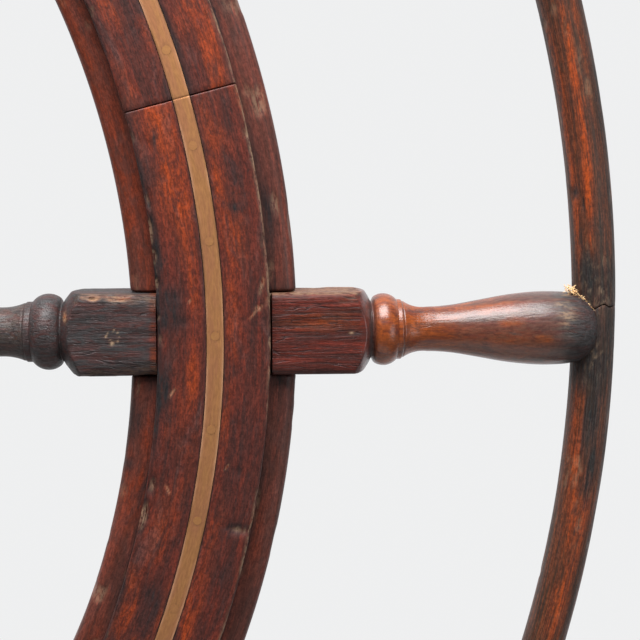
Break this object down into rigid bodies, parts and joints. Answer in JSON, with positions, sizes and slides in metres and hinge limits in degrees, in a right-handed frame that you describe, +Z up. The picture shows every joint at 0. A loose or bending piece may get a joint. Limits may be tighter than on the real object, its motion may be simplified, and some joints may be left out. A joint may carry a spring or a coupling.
{
  "type": "ship steering wheel",
  "caption": "Large wooden ship's steering wheel: turned spokes with square blocks, brass-inlaid rim, outer hoop through the handle ends, brass hub and a flanged bulkhead bearing.",
  "frame": {"origin": "centre of the bearing's rear mounting face, on the spin axis", "axes": "+Y along the spin axis into the bulkhead, so the front of the wheel faces -Y; +Z up; spoke_01 lies along +X"},
  "size_m": [1.3905, 0.3265, 1.3906],
  "materials": {
    "spoke_wood": "worn varnish on turned hardwood, glossy on the handles",
    "rim_wood": "dark weathered mahogany",
    "facing_wood": "worn red-brown mahogany, satin",
    "hoop_wood": "dark bent wood, worn to orange in streaks",
    "dowel_wood": "plain dowel",
    "inlay_brass": "dull worn brass strip",
    "screw_brass": "aged brass",
    "hub_brass": "polished brass, slightly aged",
    "bearing_bronze": "cast bronze, aged",
    "sleeve_bronze": "machined bronze",
    "shaft_steel": "turned steel"
  },
  "bodies": {
    "bearing": {"bearing_housing": "bearing_bronze", "bearing_sleeve": "sleeve_bronze", "sleeve_screws": "screw_brass", "oil_cup": "hub_brass"},
    "wheel": {"spoke_01": "spoke_wood", "spoke_02": "spoke_wood", "king_spoke": "spoke_wood", "spoke_04": "spoke_wood", "spoke_05": "spoke_wood", "spoke_06": "spoke_wood", "spoke_07": "spoke_wood", "spoke_08": "spoke_wood", "spoke_09": "spoke_wood", "spoke_10": "spoke_wood", "felloe_01": "rim_wood", "felloe_02": "rim_wood", "felloe_03": "rim_wood", "felloe_04": "rim_wood", "felloe_05": "rim_wood", "felloe_06": "rim_wood", "felloe_07": "rim_wood", "felloe_08": "rim_wood", "felloe_09": "rim_wood", "felloe_10": "rim_wood", "front_facing_1": "facing_wood", "front_facing_2": "facing_wood", "front_facing_3": "facing_wood", "front_facing_4": "facing_wood", "front_facing_5": "facing_wood", "rear_facing_1": "facing_wood", "rear_facing_2": "facing_wood", "rear_facing_3": "facing_wood", "rear_facing_4": "facing_wood", "rear_facing_5": "facing_wood", "hoop_1": "hoop_wood", "hoop_2": "hoop_wood", "hoop_3": "hoop_wood", "hoop_4": "hoop_wood", "hoop_5": "hoop_wood", "nave": "rim_wood", "felloe_dowels": "dowel_wood", "hoop_dowels": "dowel_wood", "brass_inlay": "inlay_brass", "inlay_pins": "inlay_brass", "front_facing_screws": "screw_brass", "rear_facing_screws": "screw_brass", "hoop_screws": "screw_brass", "hub_cap_screws": "screw_brass", "front_hub_plate": "hub_brass", "rear_hub_plate": "hub_brass", "hub_boss": "hub_brass", "hub_cap": "hub_brass", "hub_bolts": "hub_brass", "hub_nuts": "hub_brass", "shaft_nut": "hub_brass", "shaft_washer": "hub_brass", "wheel_shaft": "shaft_steel", "hub_key": "shaft_steel", "retaining_collar": "shaft_steel", "collar_screw": "shaft_steel"}
  },
  "joints": [
    {"name": "wheel_spin", "type": "hinge", "parent": "bearing", "child": "wheel", "pos_m": [0, -0.1415, 0], "axis": [0, 1, 0], "continuous": true}
  ]
}
